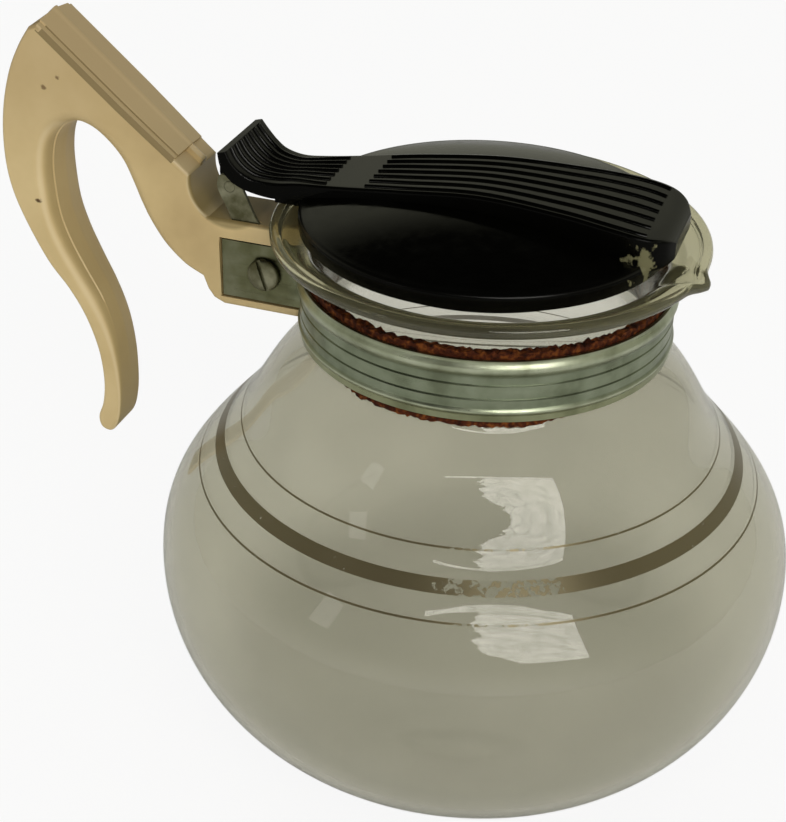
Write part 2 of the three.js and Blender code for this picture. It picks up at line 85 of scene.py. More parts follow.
def stops(ramp, *places):
    """Sets a colour ramp's stops, each a position and a hex colour."""
    bar = ramp.color_ramp.elements
    while len(bar) < len(places):
        bar.new(1)
    for stop, (position, colour) in zip(bar, places):
        stop.position = position
        stop.color = linear(colour)
    return ramp


def bare_material(name):
    """A material with an empty node tree."""
    material = bpy.data.materials.new(name)
    material.use_nodes = True
    material.node_tree.nodes.clear()
    return material, material.node_tree


def put_in(name, points, faces, edges=()):
    """A mesh as an object in the scene."""
    mesh = bpy.data.meshes.new(name)
    mesh.from_pydata(points, edges, faces)
    made = bpy.data.objects.new(name, mesh)
    bpy.context.scene.collection.objects.link(made)
    return made


def coat(piece, *materials):
    """Gives a piece these materials and no others."""
    piece.data.materials.clear()
    for material in materials:
        piece.data.materials.append(material)


# White lacquered board: flat and matt, so that it shows nothing but the soft shadow.
white_table, tree = bare_material("white_lacquered_table_top")
ray = wire(tree, "LightPath").outputs
shown = wire(tree, "Math", {0: ray["Is Camera Ray"], 1: ray["Is Transmission Ray"]}, operation="MAXIMUM")
share = wire(tree, "Math", {0: shown, 1: 0.9}, operation="MULTIPLY")
paint = wire(tree, "BsdfDiffuse", {"Color": linear("EFEFEC")})
pale = wire(tree, "Emission", {"Color": linear("FFFFFF"), "Strength": 1.0})
both = wire(tree, "MixShader", {0: share, 1: paint, 2: pale})
wire(tree, "OutputMaterial", {"Surface": both})

reach, under_base = 3.0, -2e-4
table_top = put_in("table_top", [(-reach, -reach, under_base), (reach, -reach, under_base),
                                 (reach, reach, under_base), (-reach, reach, under_base)], [(0, 1, 2, 3)])
coat(table_top, white_table)

room = bpy.data.worlds.new("room")
bpy.context.scene.world = room
room.use_nodes = True
tree = room.node_tree
tree.nodes.clear()
ray = wire(tree, "LightPath").outputs
direct = wire(tree, "Math", {0: ray["Is Camera Ray"], 1: ray["Is Transmission Ray"]}, operation="MAXIMUM")
direction = wire(tree, "TexCoord")
height = wire(tree, "SeparateXYZ", {0: direction.outputs["Generated"]})
# The walls that a reflection meets: pale below and dark above in front of the bowl, greyer behind it.
walls = stops(wire(tree, "ValToRGB", {0: height.outputs["Z"]}),
              (0.0, "F4F4EC"), (0.12, "E4E4D8"), (0.36, "5C5C54"),
              (0.55, "161614"), (1.0, "101010"))
back_walls = stops(wire(tree, "ValToRGB", {0: height.outputs["Z"]}),
                   (0.0, "A4A494"), (0.5, "9E9E8A"), (0.64, "161614"),
                   (1.0, "0C0C0C"))
depth = wire(tree, "MapRange", {0: height.outputs["Y"], 1: -0.85, 2: 0.0, 3: 0.0, 4: 1.0})
round_walls = wire(tree, "MixRGB", {0: depth, 1: walls, 2: back_walls})
soft = wire(tree, "MixRGB", {0: ray["Is Glossy Ray"], 1: linear("BEBEBA"), 2: round_walls})
back = wire(tree, "MixRGB", {0: direct, 1: soft, 2: linear("FFFFFF")})
air = wire(tree, "Background", {"Color": back, "Strength": 1.0})
wire(tree, "OutputWorld", {"Surface": air})


# Window. One wide pane to the right of the camera, with twigs and a bush outside it, and a small one to
# the left. They light the object from its front, and the image of the wide pane stands on the glass
# twice, below the wide line and above it, where the shoulder dips.
def pane(name, azimuth, left, right, low, high, radiance):
    """A window lamp in an upright plane that faces the bowl. Its sides and heights are shares of its
    distance, and its direction is in degrees from -Y towards +X."""
    distance = 1.5
    a = radians(azimuth)
    out = Vector((sin(a), -cos(a), 0))
    side = Vector((cos(a), sin(a), 0))
    up = Vector((0, 0, 1))
    lamp_data = bpy.data.lights.new(name, "AREA")
    lamp_data.shape = "RECTANGLE"
    lamp_data.size = (right - left) * distance
    lamp_data.size_y = (high - low) * distance
    # The radiance of a lamp of this kind is its power over four times its area.
    lamp_data.energy = radiance * lamp_data.size * lamp_data.size_y * 4
    lamp_data.color = linear("FFFDF6")[:3]
    lamp = bpy.data.objects.new(name, lamp_data)
    middle = out * distance + side * (left + right) / 2 * distance + up * (low + high) / 2 * distance
    axes = Matrix((side, up, side.cross(up))).transposed()
    shoulder_middle = Vector((0, 0, 0.085))
    lamp.matrix_world = Matrix.Translation(shoulder_middle + middle) @ axes.to_4x4()
    lamp.visible_camera = False
    lamp.visible_transmission = False
    bpy.context.scene.collection.objects.link(lamp)
    return lamp_data


window_light = pane("window_pane", azimuth=20, left=-0.42, right=0.76, low=0.455, high=0.963, radiance=5.4)
window_light.use_nodes = True
tree = window_light.node_tree
tree.nodes.clear()
spot = wire(tree, "NewGeometry")
flat = wire(tree, "SeparateXYZ", {0: spot.outputs["Parametric"]})
# The bush stands before a lower corner of the pane, and a glazing bar crosses it near its edge.
leaf = wire(tree, "TexNoise", {
    "Vector": spot.outputs["Parametric"], "Scale": 9.0, "Detail": 6.0, "Roughness": 0.65})
ragged = wire(tree, "Math", {0: leaf, 1: 0.5}, operation="SUBTRACT")
edge = wire(tree, "Math", {0: ragged, 1: 0.3, 2: flat}, operation="MULTIPLY_ADD")
slant = wire(tree, "MapRange", {0: flat.outputs[1], 1: 0.0, 2: 0.34, 3: 0.56, 4: 0.33})
past = wire(tree, "Math", {0: edge, 1: slant}, operation="GREATER_THAN")
strip_of_sky = wire(tree, "Math", {0: flat.outputs[1], 1: 0.94}, operation="GREATER_THAN")
open_part = wire(tree, "Math", {0: past, 1: strip_of_sky}, operation="MAXIMUM")
bar = wire(tree, "Math", {0: flat.outputs[1], 1: 0.915, 2: 0.012}, operation="COMPARE")
bar_dim = wire(tree, "Math", {0: bar, 1: -0.4, 2: 1.0}, operation="MULTIPLY_ADD")
bent = wire(tree, "MixRGB", {0: 0.12, 1: spot.outputs["Parametric"], 2: leaf.outputs[1]})
twig = wire(tree, "TexVoronoi", {"Vector": bent, "Scale": 9.0}, feature="DISTANCE_TO_EDGE")
twigs = wire(tree, "MapRange", {0: twig.outputs["Distance"], 1: 0.012, 2: 0.04, 3: 0.5, 4: 1.0})
cloud = wire(tree, "MapRange", {0: leaf, 1: 0.35, 2: 0.62, 3: 0.62, 4: 1.1})
sky = wire(tree, "Math", {0: twigs, 1: cloud}, operation="MULTIPLY")
seen = wire(tree, "Math", {0: sky, 1: open_part}, operation="MULTIPLY")
level_of = wire(tree, "Math", {0: seen, 1: bar_dim}, operation="MULTIPLY")
glow = wire(tree, "Emission", {"Color": linear("FFFFFF"), "Strength": level_of})
wire(tree, "OutputLight", {"Surface": glow})
pane("side_window", azimuth=-38, left=-0.07, right=0.07, low=0.4, high=0.66, radiance=1.0)


# Glass bowl. Thin heatproof glass, blown into a mould: a round belly, a shoulder that dips a little and
# a flared mouth with a fire-polished bead and a small pouring nub. Use has left it hazed.
base_radius, belly_radius, belly_height = 31.7, 82.5, 52
neck_radius, neck_bottom, neck_top = 42.4, 119.5, 131
flare_reach, flare_height, flare_sweep = 9.4, 10.6, 80
rim_radius, rim_height, rim_bead = 51.8, 142.5, 1.5
nub_reach, nub_drop, nub_depth, nub_azimuth, nub_width = 2.6, 0.8, 4, -9.5, 4
glass_wall = 2.0
# How far the flank's radius falls for each millimetre of height, from the belly to the neck.
flank_lean = [(52, 0), (60, 0.176), (66, 0.388), (72, 0.645), (76, 0.781), (79.2, 0.851), (83.5, 0.893),
              (87.8, 0.868), (91, 0.74), (95, 0.61), (99, 0.59), (103, 0.69), (106.5, 0.845),
              (109.5, 0.87), (112.5, 0.81), (115, 0.67), (117, 0.48), (118.3, 0.28), (119.5, 0)]


def through(table, x):
    """The height of a smooth curve through a table of places and values."""
    i = max(k for k in range(len(table) - 1) if table[k][0] <= x)
    (x0, y0), (x1, y1) = table[i], table[i + 1]
    before, after = table[max(i - 1, 0)], table[min(i + 2, len(table) - 1)]
    enter = (y1 - before[1]) / (x1 - before[0]) * (x1 - x0)
    leave = (after[1] - y0) / (after[0] - x0) * (x1 - x0)
    t = (x - x0) / (x1 - x0)
    return (y0 * (2 * t ** 3 - 3 * t * t + 1) + enter * (t ** 3 - 2 * t * t + t)
            + y1 * (3 * t * t - 2 * t ** 3) + leave * (t ** 3 - t * t))


def glass_outline():
    """Radius and height of the glass's outside, from the base's middle to the mouth."""
    line = [Vector((0, 0)), Vector((12, 0)), Vector((24, 0)), Vector((29, 0))]
    for i in range(0, 43):
        t = radians(-90 + 90 * i / 42)
        line.append(Vector((base_radius + (belly_radius - base_radius) * cos(t),
                            belly_height + belly_height * sin(t))))
    steps = 135
    rise = (neck_bottom - belly_height) / steps
    falls = [through(flank_lean, belly_height + (i + 0.5) * rise) * rise for i in range(steps)]
    share = (belly_radius - neck_radius) / sum(falls)
    radius = belly_radius
    for i, fall in enumerate(falls):
        radius -= fall * share
        if i % 3 != 1 or i > 100:
            line.append(Vector((radius, belly_height + (i + 1) * rise)))
    for i in range(0, 17):
        t = radians(flare_sweep * i / 16)
        line.append(Vector((neck_radius + flare_reach * (1 - cos(t)), neck_top + flare_height * sin(t))))
    return line


outline = glass_outline()


def at_height(z):
    """The outline's point at a height above the belly."""
    for a, b in zip(outline, outline[1:]):
        if a.y <= z < b.y:
            return a.lerp(b, (z - a.y) / (b.y - a.y))
    return outline[-1]


def lathe(name, profile, turns, loop=False):
    """Turns a profile of radius and height, in millimetres, round the Z axis, and names each strip."""
    rows = len(profile)
    points, faces, strips = [], [], []
    for i in range(turns):
        a = 2 * pi * i / turns
        points += [(p[0] * cos(a) * mm, p[0] * sin(a) * mm, p[1] * mm) for p in profile]
    for i in range(turns):
        k = (i + 1) % turns
        for j in range(rows if loop else rows - 1):
            n = (j + 1) % rows
            faces.append((i * rows + j, k * rows + j, k * rows + n, i * rows + n))
            strips.append(j)
    return put_in(name, points, faces), strips


same_place = 1e-7


def tidy(piece, smooth):
    """Merges doubles, turns the faces outwards and shades smooth up to an angle in degrees."""
    shell = bmesh.new()
    shell.from_mesh(piece.data)
    bmesh.ops.remove_doubles(shell, verts=shell.verts, dist=same_place)
    bmesh.ops.dissolve_degenerate(shell, edges=shell.edges, dist=same_place)
    bmesh.ops.recalc_face_normals(shell, faces=shell.faces)
    for face in shell.faces:
        face.smooth = True
    for edge in shell.edges:
        edge.smooth = len(edge.link_faces) == 2 and edge.calc_face_angle(0) < radians(smooth)
    shell.to_mesh(piece.data)
    shell.free()


# The printed lines: two thin ones and a wide one between them.
printed = [(91.4, 91.8), (83.5, 86.3), (78.5, 78.9)]
marks = sorted(z for pair in printed for z in pair)
dense = []
for a, b in zip(outline, outline[1:]):
    dense.append(a)
    dense += [at_height(z) for z in marks if a.y < z < b.y and a.y > belly_height]
dense.append(outline[-1])
lip = []
for t in range(-120, 121, 20):
    a = radians(t)
    lip.append(Vector((rim_radius + rim_bead * cos(a), rim_height + rim_bead * sin(a))))
inside = []
for i, p in enumerate(dense):
    along = (dense[min(i + 1, len(dense) - 1)] - dense[max(i - 1, 0)]).normalized()
    inside.append(Vector((max(p.x - along.y * glass_wall, 0), p.y + along.x * glass_wall)))
profile = dense + lip + inside[::-1]
profile[-1].x = 0
glass, strips = lathe("blown_glass_bowl", profile, 180)


# Blown borosilicate glass is clear, thin and very smooth, so it shows at its edges and by what it reflects.
# Boiled coffee and hard water have left a grey film on it, in clouds about 60 mm across. The film's grey
# tint is partly painted shade, standing in for grey surroundings seen through the glass.
def glass_tree(name, tint, clear, hazed):
    """Glass of one tint with a dried film, from its clearest to its dullest: material, tree and shader."""
    material, tree = bare_material(name)
    place = wire(tree, "TexCoord").outputs["Object"]
    cloud = wire(tree, "TexNoise", {"Vector": place, "Scale": 17.0, "Detail": 4.0})
    haze = wire(tree, "MapRange", {0: cloud, 1: 0.35, 2: 0.68, 3: clear, 4: hazed})
    skin = wire(tree, "BsdfPrincipled", {
        "Base Color": linear(tint), "Roughness": 0.015, "IOR": 1.47, "Transmission Weight": haze})
    wire(tree, "OutputMaterial", {"Surface": skin})
    return material, tree, skin


clear_glass = glass_tree("borosilicate_glass_blown", "F2F2EA", 0.98, 0.88)[0]
rim_glass = glass_tree("borosilicate_glass_fire_polished_rim", "B7B392", 0.95, 0.84)[0]
# The film is put on the outside, and its tint darkens towards the foot: partly dried film, partly painted
# shade seen through the base.
hazed_and_shaded_glass, tree, skin = glass_tree("borosilicate_glass_with_dried_haze_and_painted_shade", "B2B09E", 0.88, 0.72)
place = wire(tree, "TexCoord").outputs["Object"]
heights = wire(tree, "SeparateXYZ", {0: place})
thick = wire(tree, "MapRange", {
    0: heights.outputs[2], 1: 0.005, 2: 0.028, 3: 0.0, 4: 1.0}, interpolation_type="SMOOTHSTEP")
darker_foot_film_and_shade = wire(tree, "MixRGB", {0: thick, 1: linear("7E7C6B"), 2: linear("C2BFAE")})
tree.links.new(darker_foot_film_and_shade.outputs[0], skin.inputs["Base Color"])
# Platinum printed on the glass and fired: a thin brown metal film with a soft shine. It's worn through
# in specks of about 2 mm, coarser than the real ones, and rubbed off in one patch at the front.
print_glass, tree, skin = glass_tree("platinum_print_on_glass_worn", "B2B09E", 0.88, 0.72)
place = wire(tree, "TexCoord").outputs["Object"]
worn = wire(tree, "TexNoise", {"Vector": place, "Scale": 520.0, "Detail": 6.0, "Roughness": 0.7})
rubbed_patch_and_bead_sheen = wire(tree, "VectorMath", {0: place, 1: (0.024, -0.0615, 0.085)}, operation="DISTANCE")
bare = wire(tree, "MapRange", {0: rubbed_patch_and_bead_sheen.outputs["Value"], 1: 0.012, 2: 0.017, 3: 0.17, 4: 0.0})
left_of = wire(tree, "Math", {0: worn, 1: bare}, operation="SUBTRACT")
kept = wire(tree, "MapRange", {0: left_of, 1: 0.31, 2: 0.36, 3: 0.0, 4: 0.96})
metal = wire(tree, "BsdfPrincipled", {"Base Color": linear("6C6246"), "Metallic": 0.5, "Roughness": 0.3})
output = next(n for n in tree.nodes if n.type == "OUTPUT_MATERIAL")
both = wire(tree, "MixShader", {0: kept, 1: skin, 2: metal})
tree.links.new(both.outputs[0], output.inputs["Surface"])
coat(glass, clear_glass, print_glass, hazed_and_shaded_glass, rim_glass)
film_top, rim_low = neck_bottom + 4, neck_top + 6.5
for face, strip in zip(glass.data.polygons, strips):
    middle = (profile[strip].y + profile[strip + 1].y) / 2
    if strip + 1 < len(dense):
        on_print = any(low < middle < high for low, high in printed) and profile[strip].y > belly_height
        face.material_index = 1 if on_print else 2 if middle < film_top else 0
    if middle > rim_low:
        face.material_index = 3
for vertex in glass.data.vertices:
    x, y, z = vertex.co / mm
    turn = (degrees(atan2(y, x)) - nub_azimuth) / nub_width
    near = min(max((z - rim_height + nub_depth) / nub_depth, 0), 1)
    pull = exp(-turn * turn) * near * near * (3 - 2 * near)
    radius = hypot(x, y)
    if radius > neck_radius / 2:
        grow = (radius + nub_reach * pull) / radius
        vertex.co = Vector((x * grow, y * grow, z - nub_drop * pull)) * mm
tidy(glass, 60)
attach(glass, "decanter")
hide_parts("glass_bowl")


# Cork lining. A strip of baked cork between glass and collar, broken and ragged along both edges.
band_inner, band_bottom, band_top = 45.2, 116.4, 132.0
cork_outer, cork_seat, cork_past = 44.9, 0.3, 1.7
cork_rows = []
low, high = band_bottom - cork_past, band_top + cork_past
heights = [low + (high - low) * i / 24 for i in range(25)]
for z in heights:
    below = max(0.0, min(1.0, (band_bottom - z) / 0.4))
    above = max(0.0, min(1.0, (z - band_top - 0.4) / 0.8))
    cork_rows.append((cork_outer + below + above * 0.35, z))
for z in reversed(heights):
    cork_rows.append((at_height(z).x + cork_seat, z))
cork = lathe("cork_strip", cork_rows, 360, loop=True)[0]
# Below the collar the strip is only seen at the front, where it hangs out. Its edges have crumbled.
for vertex in cork.data.vertices:
    x, y, z = vertex.co / mm
    spot = Vector((x, y, z))
    crumb = noise.noise(spot * 0.8) * 0.7 + noise.noise(spot * 2.4) * 0.5
    over = max(0, z - band_top) / cork_past
    under = max(0, band_bottom - z) / cork_past
    turn = degrees(atan2(y, x))
    hangs = min(max((turn + 122) / 10, 0), 1) * min(max((-48 - turn) / 14, 0), 1)
    vertex.co.z += crumb * over * 1.2 * mm
    vertex.co.z += under * (cork_past * (1 - hangs) + max(0, crumb) * 1.2) * mm
    radius = hypot(x, y)
    if radius > cork_outer - 0.4 and over + under > 0:
        grow = 1 + (noise.noise(spot * 1.7) - 0.3) * 0.6 * min((over + under) * 3, 1) / radius
        vertex.co.x *= grow
        vertex.co.y *= grow

# Old pressed cork, stained by coffee: matt, dark red brown, and rough with grains of about 1.5 mm.
cork_bark, tree = bare_material("cork_pressed_sheet_old")
place = wire(tree, "TexCoord").outputs["Object"]
grain = wire(tree, "TexNoise", {"Vector": place, "Scale": 700.0, "Detail": 6.0})
crumbs = wire(tree, "TexVoronoi", {"Vector": place, "Scale": 620.0})
tone = stops(wire(tree, "ValToRGB", {0: grain}), (0.32, "260C04"), (0.5, "4C200A"), (0.74, "8A4E1E"))
rough = wire(tree, "Math", {0: grain, 1: crumbs.outputs["Distance"]}, operation="ADD")
relief = wire(tree, "Bump", {"Height": rough, "Strength": 0.9, "Distance": 0.0005})
skin = wire(tree, "BsdfPrincipled", {
    "Base Color": tone, "Roughness": 0.85, "Specular IOR Level": 0.2, "Normal": relief})
wire(tree, "OutputMaterial", {"Surface": skin})
coat(cork, cork_bark)
tidy(cork, 60)
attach(cork, "decanter")
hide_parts("cork_liner")


# Collar. One strip of aluminium sheet, rolled with two beads and two fine grooves and bent outwards
# at both ends into the ears that hold the handle.
ear_reach, ear_inner, sheet = 67.3, 7.4, 0.8
bend = 2.6
middle = (band_bottom + band_top) / 2


def collar_path():
    """Plan points of the strip's inner face with its outward direction and the share of relief."""
    centre_x = -sqrt((band_inner + bend) ** 2 - (ear_inner + bend) ** 2)
    half = []
    for i in range(13):
        x = -ear_reach + (ear_reach + centre_x) * i / 12
        half.append((Vector((x, -ear_inner)), Vector((0, -1)), 0.3 * min(1, i / 3)))
    start = pi / 2
    centre = Vector((centre_x, -ear_inner - bend))
    toward = -centre.normalized()
    stop = atan2(toward.y, toward.x)
    for i in range(1, 9):
        a = start + (stop - start) * i / 8
        away = Vector((cos(a), sin(a)))
        half.append((centre + away * bend, -away, 0.3 + 0.05 * i / 8))
    first = atan2(half[-1][0].y, half[-1][0].x)
    ring = []
    steps = 260
    for i in range(1, steps):
        span = 2 * abs(first)
        a = first + span * i / steps
        away = Vector((cos(a), sin(a)))
        near = min(i, steps - i) / 5
        ring.append((away * band_inner, away, min(1.0, 0.35 + 0.65 * near)))
    other = [(Vector((p.x, -p.y)), Vector((d.x, -d.y)), s) for p, d, s in reversed(half)]
    return half + ring + other


def relief_at(z):
    """How far the rolled beads and grooves stand out at a height."""
    out = 0.0
    for bead, half, proud in ((band_bottom + 2.5, 1.1, 0.5), (band_top - 2.3, 2.2, 0.8)):
        s = min(abs(z - bead) / half, 1)
        out += proud * (1 + cos(pi * s)) / 2
    for groove in (middle - 2.1, middle + 1.5):
        out -= 0.3 * max(0.0, 1 - abs(z - groove) / 0.3)
    return out


def walls_between(rings, count):
    """The faces between closed rings of points, each joined to the next ring."""
    faces = []
    for i in range(rings - 1):
        here, there = i * count, (i + 1) * count
        for j in range(count):
            k = (j + 1) % count
            faces.append((here + j, there + j, there + k, here + k))
    return faces


rows = [band_bottom + (band_top - band_bottom) * i / 104 for i in range(105)]
section = [(sheet, z) for z in rows] + [(0.0, z) for z in reversed(rows)]
path = collar_path()
points = []
for spot, away, share in path:
    for out, z in section:
        lift = relief_at(z) * share
        out_here = out + (lift if out > 0 else max(lift, 0))
        flat = spot + away * out_here
        points.append((flat.x * mm, flat.y * mm, z * mm))
count = len(section)
faces = walls_between(len(path), count)
for base in (0, (len(path) - 1) * count):
    for j in range(104):
        faces.append((base + j, base + j + 1, base + count - 2 - j, base + count - 1 - j))
collar = put_in("rolled_collar", points, faces)

# Aluminium sheet, rolled and gone dull: broad soft highlights along the beads, partly painted into its
# colour as lighter bands, rolling marks round the strip, drawn 0.8 mm apart so that they show, and blotches
# of about 8 mm. The ears are darker.
aluminium, tree = bare_material("aluminium_sheet_rolled_dull")
place = wire(tree, "TexCoord").outputs["Object"]
stretch = wire(tree, "Mapping", {"Vector": place, "Scale": (1, 1, 14)})
lines = wire(tree, "TexNoise", {"Vector": stretch, "Scale": 90.0, "Detail": 5.0})
blotch = wire(tree, "TexNoise", {"Vector": place, "Scale": 130.0, "Detail": 5.0})
tone = stops(wire(tree, "ValToRGB", {0: blotch}), (0.33, "A0A494"), (0.5, "BABFB0"), (0.7, "CCD0C4"))
part_way = wire(tree, "SeparateXYZ", {0: place})
level_up = wire(tree, "MapRange", {0: part_way.outputs[2], 1: band_bottom * mm, 2: band_top * mm})
# Painted highlights: the colour is lighter at the heights of the two beads, and darker beside them.
rubbed_patch_and_bead_sheen = stops(wire(tree, "ValToRGB", {0: level_up}),
               (0.1, "C6C6AC"), (0.16, "F4F6EA"), (0.22, "B4BAAC"),
               (0.5, "BEC4B6"), (0.74, "B4BAAC"), (0.84, "F0F2E6"),
               (0.94, "FAFCF0"), (1.0, "B8BAA8"))
toned_with_painted_sheen = wire(tree, "MixRGB", {0: 1.0, 1: tone, 2: rubbed_patch_and_bead_sheen}, blend_type="MULTIPLY")
on_ear = wire(tree, "MapRange", {0: part_way, 1: -0.039, 2: -0.05, 3: 0.0, 4: 1.0})
ear_tone = stops(wire(tree, "ValToRGB", {0: blotch}), (0.33, "55563E"), (0.5, "6A6B50"), (0.7, "7E7F68"))
toned = wire(tree, "MixRGB", {0: on_ear, 1: toned_with_painted_sheen, 2: ear_tone})
dull = wire(tree, "MapRange", {0: lines, 1: 0.3, 2: 0.7, 3: 0.26, 4: 0.42})
relief = wire(tree, "Bump", {"Height": lines, "Strength": 0.12, "Distance": 0.0004})
skin = wire(tree, "BsdfPrincipled", {
    "Base Color": toned, "Metallic": 1.0, "Roughness": dull, "Normal": relief})
wire(tree, "OutputMaterial", {"Surface": skin})
coat(collar, aluminium)
tidy(collar, 35)
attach(collar, "decanter")
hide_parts("neck_band")


# Handle. One piece of cream phenolic, cast in a two-part mould: a tongue between the ears, a hollow for the
# hinge, a stepped and crested top, and an open hook. Age has browned it unevenly, and painted shade browns
# its top and its hollow further.
screw_x, screw_z = -55.8, 124.2
pivot_x, pivot_z = -65.3, 146.0
handle_half, edge_round = 8.5, 1.1
notch_radius, notch_low, notch_high = 10.4, 57, 10
tongue_top = pivot_z - notch_radius * sin(radians(notch_low))
tongue_bottom, tongue_front = band_bottom - 2.8, 45.5
top_front = Vector((pivot_x - notch_radius * cos(radians(notch_high)),
                    pivot_z + notch_radius * sin(radians(notch_high))))
top_rear = Vector((screw_x - 58.6, screw_z + 56.6))
grip_line = [
    (-61.4, 56.2), (-64.6, 51.4), (-67.9, 44.6), (-70.5, 35.6), (-71.7, 25.6), (-71.2, 15.6),
    (-68.5, 5.9), (-62.5, -7.2), (-56.9, -15.2), (-52.9, -23.1), (-50.2, -32.8), (-49.5, -42.4),
    (-50.4, -49.9), (-52.1, -54.8), (-51.4, -58.2), (-48.4, -58.8), (-46.1, -55.4),
    (-44.9, -49.4), (-44.5, -42.4), (-44.8, -34.4), (-46.2, -25.9), (-49.1, -17.6), (-53, -10),
    (-56.6, -2.4), (-59, 5.1), (-59.9, 13.6), (-59.8, 20.6), (-58.4, 26.8), (-55.2, 31),
    (-50.8, 32.6), (-46.4, 31.6), (-42.2, 28.5), (-38.6, 24.2), (-36.1, 18.6), (-33.9, 13),
    (-31.1, 8.2), (-27.2, 3.1), (-22.1, -1.2), (-17.2, -3.7)]


def smooth_line(knots, per_span):
    """A curve through knots of any size, with a number of steps between each two."""
    knots = [Vector(k) for k in knots]
    found = []
    for i in range(len(knots) - 1):
        a, b = knots[max(i - 1, 0)], knots[i]
        c, d = knots[i + 1], knots[min(i + 2, len(knots) - 1)]
        for step in range(per_span):
            t = step / per_span
            enter, leave = (c - a) * 0.5, (d - b) * 0.5
            found.append(b * (2 * t ** 3 - 3 * t * t + 1) + enter * (t ** 3 - 2 * t * t + t)
                         + c * (3 * t * t - 2 * t ** 3) + leave * (t ** 3 - t * t))
    return found + [knots[-1]]


handle_line, per_knot = [], 5
grip = [Vector((screw_x + p.x, screw_z + p.y)) for p in smooth_line(grip_line, per_knot)]
arch_from, arch_to = 17 * per_knot, 37 * per_knot
for i, p in enumerate(grip):
    inner = min(max((i - arch_from) / 20, 0), 1) * min(max((arch_to - i) / 15, 0), 1)
    handle_line.append((p, "grip", inner))
for x, z in [(-15.9, -7.1), (-14.3, -9.3)]:
    handle_line.append((Vector((screw_x + x, screw_z + z)), "tongue", 0.0))
handle_line += [(Vector((screw_x - 11.4, tongue_bottom)), "tongue", 0.0),
                (Vector((-tongue_front - 1.6, tongue_bottom)), "tongue", 0.0),
                (Vector((-tongue_front, tongue_bottom + 3)), "tongue", 0.0),
                (Vector((-tongue_front, tongue_top)), "tongue", 0.0)]
for i in range(25):
    a = radians(180 + notch_low - (notch_low + notch_high) * i / 24)
    x, z = pivot_x + notch_radius * cos(a), pivot_z + notch_radius * sin(a)
    handle_line.append((Vector((x, z)), "hollow", 0.0))
slope_length = (top_front - top_rear).length
slope_dir = (top_front - top_rear).normalized()
ridge_end = 45.5
for s in (slope_length - 0.5, 48, 45.7, ridge_end, 36, 27, 18, 9, 1, -0.5):
    handle_line.append((top_rear + slope_dir * s, "ridge" if s <= ridge_end else "spine", 0.0))


def handle_levels(kind, inner):
    """Half of the handle's cross-section at one place of its outline: y from its side inwards, and
    how far out of the outline."""
    r = edge_round + 2.6 * inner
    curve = [(handle_half - r * (1 - cos(radians(t))), -r * (1 - sin(radians(t))))
             for t in (0, 18, 36, 52, 70, 90)]
    if kind == "ridge":
        return curve[:3] + [(7.95, -0.05), (7.78, 0.28), (6.5, 0.4), (6.38, 0.8), (6.0, 0.98), (1.5, 1.5),
                            (0.9, 1.98), (0, 2.1)]
    tail = [((handle_half - r) * part, 0.0) for part in (0.94, 0.9, 0.2)]
    if kind == "spine":
        return curve + [(6.2, 0.0), (6.0, 0.0), (1.3, 0.0), (1.2, 1.35), (0, 1.9)]
    crest, crest_half = 0.9 * inner, 6.7
    return curve + [(y, crest * (1 - y / crest_half)) for y, _ in tail] + [(0.6, crest * 0.91), (0, crest)]


def level(value, low, high):
    """A smooth step from 0 to 1."""
    t = min(max((value - low) / (high - low), 0), 1)
    return t * t * (3 - 2 * t)


def grip_share(x, z):
    """The handle's thickness there over its thickness at the tongue."""
    tongue_thick, most_swell, tip_thick, tapered = 17, 1.8, 11.5, 75
    hook_x, tip_z = screw_x - 39, screw_z - 58.8
    thick = tongue_thick + most_swell * level(-x, -top_front.x, -hook_x)
    thin = 1 - level(z, tip_z, tip_z + tapered) if x < hook_x else 0
    return (thick + (tip_thick - thick) * thin) / tongue_thick


rings = []
total = len(handle_line)
for i, (spot, kind, inner) in enumerate(handle_line):
    before, after = handle_line[i - 1][0], handle_line[(i + 1) % total][0]
    one, two = (spot - before).normalized(), (after - spot).normalized()
    n1, n2 = Vector((one.y, -one.x)), Vector((two.y, -two.x))
    away = (n1 + n2)
    away = away / max(away.length_squared / 2, 0.35)
    halves = handle_levels(kind, inner)
    ring = []
    for y, out in halves + [(-y, out) for y, out in reversed(halves[:-1])]:
        flat = spot + away * out
        ring.append(Vector((flat.x, y * grip_share(spot.x, spot.y), flat.y)) * mm)
    rings.append(ring)
count = len(rings[0])
points = [p for ring in rings for p in ring]
faces = []
for i in range(total):
    k = (i + 1) % total
    for j in range(count - 1):
        faces.append((i * count + j, k * count + j, k * count + j + 1, i * count + j + 1))
faces.append([i * count for i in range(total)])
faces.append([i * count + count - 1 for i in range(total)])
handle = put_in("hook_handle", points, faces)


def mend(piece):
    """Merges doubles and turns the faces outwards, ready to be cut."""
    shell = bmesh.new()
    shell.from_mesh(piece.data)
    bmesh.ops.remove_doubles(shell, verts=shell.verts, dist=same_place)
    bmesh.ops.recalc_face_normals(shell, faces=shell.faces)
    shell.to_mesh(piece.data)
    shell.free()


def prism(name, flat, y0, y1):
    """A closed outline of x and z, in millimetres, drawn out along Y."""
    count = len(flat)
    points = [(x * mm, y0 * mm, z * mm) for x, z in flat] + [(x * mm, y1 * mm, z * mm) for x, z in flat]
    faces = [[i, (i + 1) % count, count + (i + 1) % count, count + i] for i in range(count)]
    faces += [list(range(count)), list(range(count, 2 * count))]
    made = put_in(name, points, faces)
    mend(made)
    return made


def settle(piece):
    """Applies a piece's modifiers, so that its mesh is plain."""
    evaluated = piece.evaluated_get(bpy.context.evaluated_depsgraph_get())
    plain = bpy.data.meshes.new_from_object(evaluated)
    piece.modifiers.clear()
    piece.data = plain


